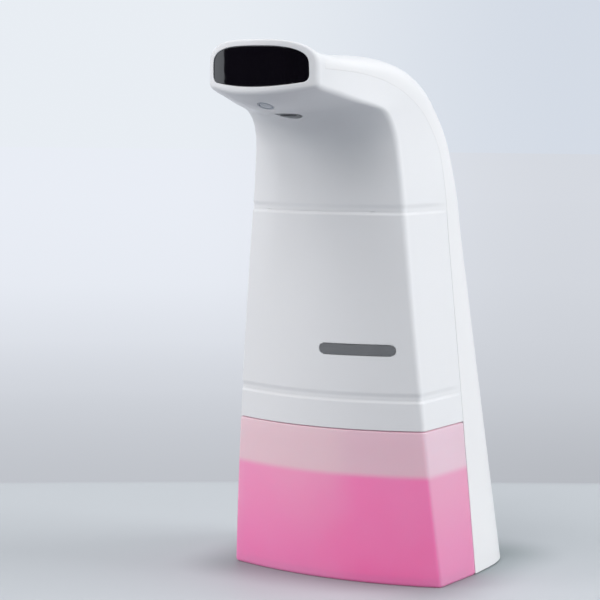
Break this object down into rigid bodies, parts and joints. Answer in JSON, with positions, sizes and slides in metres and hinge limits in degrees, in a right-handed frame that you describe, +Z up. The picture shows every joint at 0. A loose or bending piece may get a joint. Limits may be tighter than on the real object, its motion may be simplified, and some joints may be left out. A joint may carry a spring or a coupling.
{
  "type": "automatic foam soap dispenser",
  "caption": "Touch-free foam soap dispenser: a gooseneck housing that lifts off a translucent soap tank, with sensor window, foam nozzle and battery bay.",
  "frame": {"origin": "on the floor, on the tank's flat underside, on the symmetry plane, where the side parting line comes down", "axes": "+Z up, front and sensor window toward -Y, +X to the right seen from the front"},
  "size_m": [0.0936, 0.1235, 0.2],
  "materials": {
    "white_shell": "gloss white, cool tint",
    "frosted_tank": "frosted, translucent, tinted by the pink soap",
    "black_window": "polished black",
    "grey_badge": "satin grey",
    "dark_plastic": "matte",
    "rubber": "soft",
    "steel": "plain",
    "circuit_board": "solder mask",
    "cell_sleeve": "printed sleeve, left plain",
    "clear_tube": "milky tube",
    "contact_metal": "plated"
  },
  "bodies": {
    "tank": {"tank": "frosted_tank"},
    "housing": {"upper_shell": "white_shell", "middle_panel": "white_shell", "lower_collar": "white_shell", "back_cover": "white_shell", "pump_deck": "white_shell", "spine_sole": "white_shell", "foam_nozzle": "white_shell", "valve_block": "white_shell", "pump_case": "white_shell", "pickup_filter": "white_shell", "sensor_window": "black_window", "badge_plate": "grey_badge", "rocker_plate": "dark_plastic", "battery_tray": "dark_plastic", "power_switch": "dark_plastic", "foam_mesh": "dark_plastic", "chin_lens": "dark_plastic", "tank_gasket": "rubber", "diaphragm": "rubber", "rear_foot_left": "rubber", "rear_foot_right": "rubber", "deck_screw_1": "steel", "deck_screw_2": "steel", "deck_screw_3": "steel", "deck_screw_4": "steel", "pump_motor": "steel", "sensor_board": "circuit_board", "main_board": "circuit_board", "cell_1": "cell_sleeve", "cell_2": "cell_sleeve", "cell_3": "cell_sleeve", "cell_4": "cell_sleeve", "pickup_tube": "clear_tube", "delivery_hose": "clear_tube", "lower_contacts": "contact_metal", "upper_contacts": "contact_metal"},
    "pump_rotor": {"eccentric": "steel"},
    "battery_door": {"battery_door": "white_shell"},
    "power_button": {"power_button": "grey_badge"}
  },
  "joints": [
    {"name": "housing_lift", "type": "slide", "parent": "tank", "child": "housing", "axis": [0, 0, 1], "range_m": [0, 0.07]},
    {"name": "rotor_spin", "type": "hinge", "parent": "housing", "child": "pump_rotor", "pos_m": [0, -0.00601, 0.086], "axis": [0, 0, 1], "continuous": true},
    {"name": "battery_door_hinge", "type": "hinge", "parent": "housing", "child": "battery_door", "pos_m": [0, 0.03021, 0.06405], "axis": [-1, 0, 0], "range_deg": [0, 75]},
    {"name": "power_button_press", "type": "slide", "parent": "housing", "child": "power_button", "axis": [0, -0.9853, -0.1706], "range_m": [0, 0.001], "stiffness_N_per_m": 400, "springref_m": -0.001}
  ]
}
